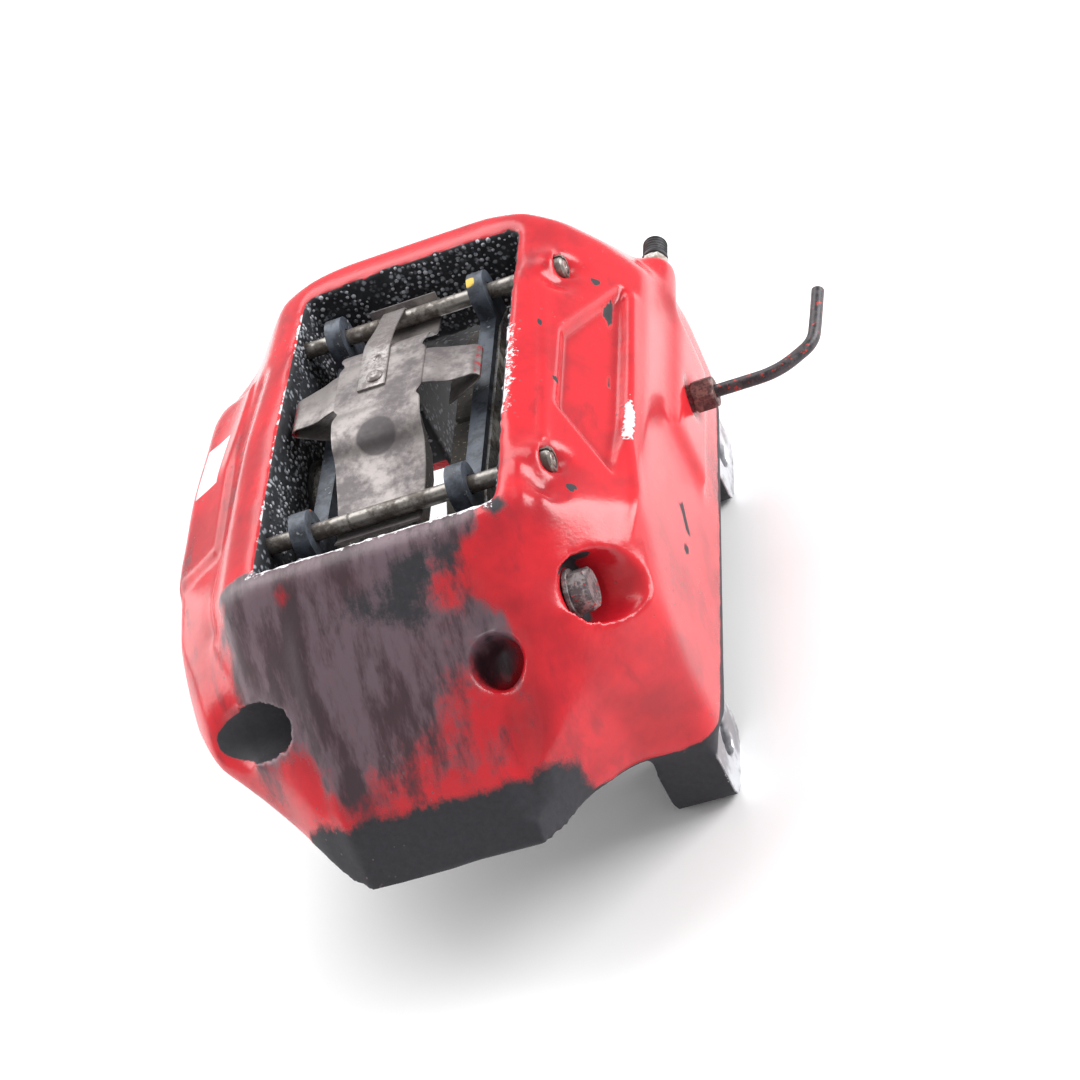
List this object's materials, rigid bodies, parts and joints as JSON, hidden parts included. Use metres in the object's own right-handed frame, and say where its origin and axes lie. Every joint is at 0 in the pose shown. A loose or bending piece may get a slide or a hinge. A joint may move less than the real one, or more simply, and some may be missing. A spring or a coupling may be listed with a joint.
{
  "type": "fixed brake caliper",
  "caption": "Fixed multi-piston disc brake caliper: one-piece red casting over a disc slot, with pads on cross pins, a leaf spring, bleed screws and a pipe.",
  "frame": {"origin": "middle of the two mounting-lug holes, on the plane of the lugs' machined inboard faces", "axes": "+X along the lug holes and the disc axis, pointing inboard out of the lug faces; +Y along the caliper's length, tangent to the disc; +Z outwards from the disc centre"},
  "size_m": [0.2239, 0.302, 0.135],
  "materials": {
    "red_casting": "gloss",
    "piston_alloy": "satin",
    "seal_rubber": "matte",
    "blue_grey_plate": "satin",
    "friction_lining": "matte",
    "stainless_sheet": "satin",
    "pin_steel": "satin",
    "spring_steel": "satin",
    "plated_steel": "satin",
    "cap_rubber": "matte",
    "brown_nut": "satin",
    "coated_pipe": "satin"
  },
  "bodies": {
    "caliper": {"abutment_plates": "stainless_sheet", "bolt_washer": "plated_steel", "bracket_bolt": "plated_steel", "brake_pipe": "coated_pipe", "caliper_body": "red_casting", "pad_spring": "spring_steel", "pin_sleeve_far": "pin_steel", "pin_sleeve_near": "pin_steel", "pipe_nut": "brown_nut", "retaining_pin_far": "pin_steel", "retaining_pin_near": "pin_steel", "seal_inboard_leading": "seal_rubber", "seal_inboard_middle": "seal_rubber", "seal_inboard_trailing": "seal_rubber", "seal_outboard_leading": "seal_rubber", "seal_outboard_middle": "seal_rubber", "seal_outboard_trailing": "seal_rubber", "spring_hook": "spring_steel", "spring_rivet": "spring_steel", "wiper_inboard_leading": "seal_rubber", "wiper_inboard_middle": "seal_rubber", "wiper_inboard_trailing": "seal_rubber", "wiper_outboard_leading": "seal_rubber", "wiper_outboard_middle": "seal_rubber", "wiper_outboard_trailing": "seal_rubber"},
    "outboard_pad": {"pad_plate_outboard": "blue_grey_plate", "pad_lining_outboard": "friction_lining", "pad_shim_outboard": "stainless_sheet"},
    "piston_outboard_leading_body": {"piston_outboard_leading": "piston_alloy"},
    "piston_outboard_middle_body": {"piston_outboard_middle": "piston_alloy"},
    "piston_outboard_trailing_body": {"piston_outboard_trailing": "piston_alloy"},
    "inboard_pad": {"pad_plate_inboard": "blue_grey_plate", "pad_lining_inboard": "friction_lining", "pad_shim_inboard": "stainless_sheet"},
    "piston_inboard_leading_body": {"piston_inboard_leading": "piston_alloy"},
    "piston_inboard_middle_body": {"piston_inboard_middle": "piston_alloy"},
    "piston_inboard_trailing_body": {"piston_inboard_trailing": "piston_alloy"},
    "bleed_inboard_screw_body": {"bleed_screw_inboard": "plated_steel"},
    "bleed_inboard_cap_body": {"bleed_cap_inboard": "cap_rubber"},
    "bleed_outboard_screw_body": {"bleed_screw_outboard": "plated_steel"},
    "bleed_outboard_cap_body": {"bleed_cap_outboard": "cap_rubber"}
  },
  "joints": [
    {"name": "outboard_pad_slide", "type": "slide", "parent": "caliper", "child": "outboard_pad", "axis": [1, 0, 0], "range_m": [0, 0.005]},
    {"name": "piston_outboard_leading_slide", "type": "slide", "parent": "caliper", "child": "piston_outboard_leading_body", "axis": [1, 0, 0], "range_m": [0, 0.0052]},
    {"name": "piston_outboard_middle_slide", "type": "slide", "parent": "caliper", "child": "piston_outboard_middle_body", "axis": [1, 0, 0], "range_m": [0, 0.0052]},
    {"name": "piston_outboard_trailing_slide", "type": "slide", "parent": "caliper", "child": "piston_outboard_trailing_body", "axis": [1, 0, 0], "range_m": [0, 0.0052]},
    {"name": "inboard_pad_slide", "type": "slide", "parent": "caliper", "child": "inboard_pad", "axis": [-1, 0, 0], "range_m": [0, 0.005]},
    {"name": "piston_inboard_leading_slide", "type": "slide", "parent": "caliper", "child": "piston_inboard_leading_body", "axis": [-1, 0, 0], "range_m": [0, 0.0052]},
    {"name": "piston_inboard_middle_slide", "type": "slide", "parent": "caliper", "child": "piston_inboard_middle_body", "axis": [-1, 0, 0], "range_m": [0, 0.0052]},
    {"name": "piston_inboard_trailing_slide", "type": "slide", "parent": "caliper", "child": "piston_inboard_trailing_body", "axis": [-1, 0, 0], "range_m": [0, 0.0052]},
    {"name": "bleed_inboard_turn", "type": "hinge", "parent": "caliper", "child": "bleed_inboard_screw_body", "pos_m": [0, 0.1035, 0.07], "axis": [0, 1, 0], "range_deg": [0, 270]},
    {"name": "bleed_inboard_cap_pull", "type": "slide", "parent": "bleed_inboard_screw_body", "child": "bleed_inboard_cap_body", "axis": [0, 1, 0], "range_m": [0, 0.014]},
    {"name": "bleed_outboard_turn", "type": "hinge", "parent": "caliper", "child": "bleed_outboard_screw_body", "pos_m": [-0.154, 0.1175, 0.059], "axis": [0, 1, 0], "range_deg": [0, 270]},
    {"name": "bleed_outboard_cap_pull", "type": "slide", "parent": "bleed_outboard_screw_body", "child": "bleed_outboard_cap_body", "axis": [0, 1, 0], "range_m": [0, 0.014]}
  ],
  "couplings": [
    {"joint": "piston_outboard_leading_slide", "follows": "outboard_pad_slide", "ratio": 1},
    {"joint": "piston_outboard_middle_slide", "follows": "outboard_pad_slide", "ratio": 1},
    {"joint": "piston_outboard_trailing_slide", "follows": "outboard_pad_slide", "ratio": 1},
    {"joint": "piston_inboard_leading_slide", "follows": "inboard_pad_slide", "ratio": 1},
    {"joint": "piston_inboard_middle_slide", "follows": "inboard_pad_slide", "ratio": 1},
    {"joint": "piston_inboard_trailing_slide", "follows": "inboard_pad_slide", "ratio": 1}
  ]
}
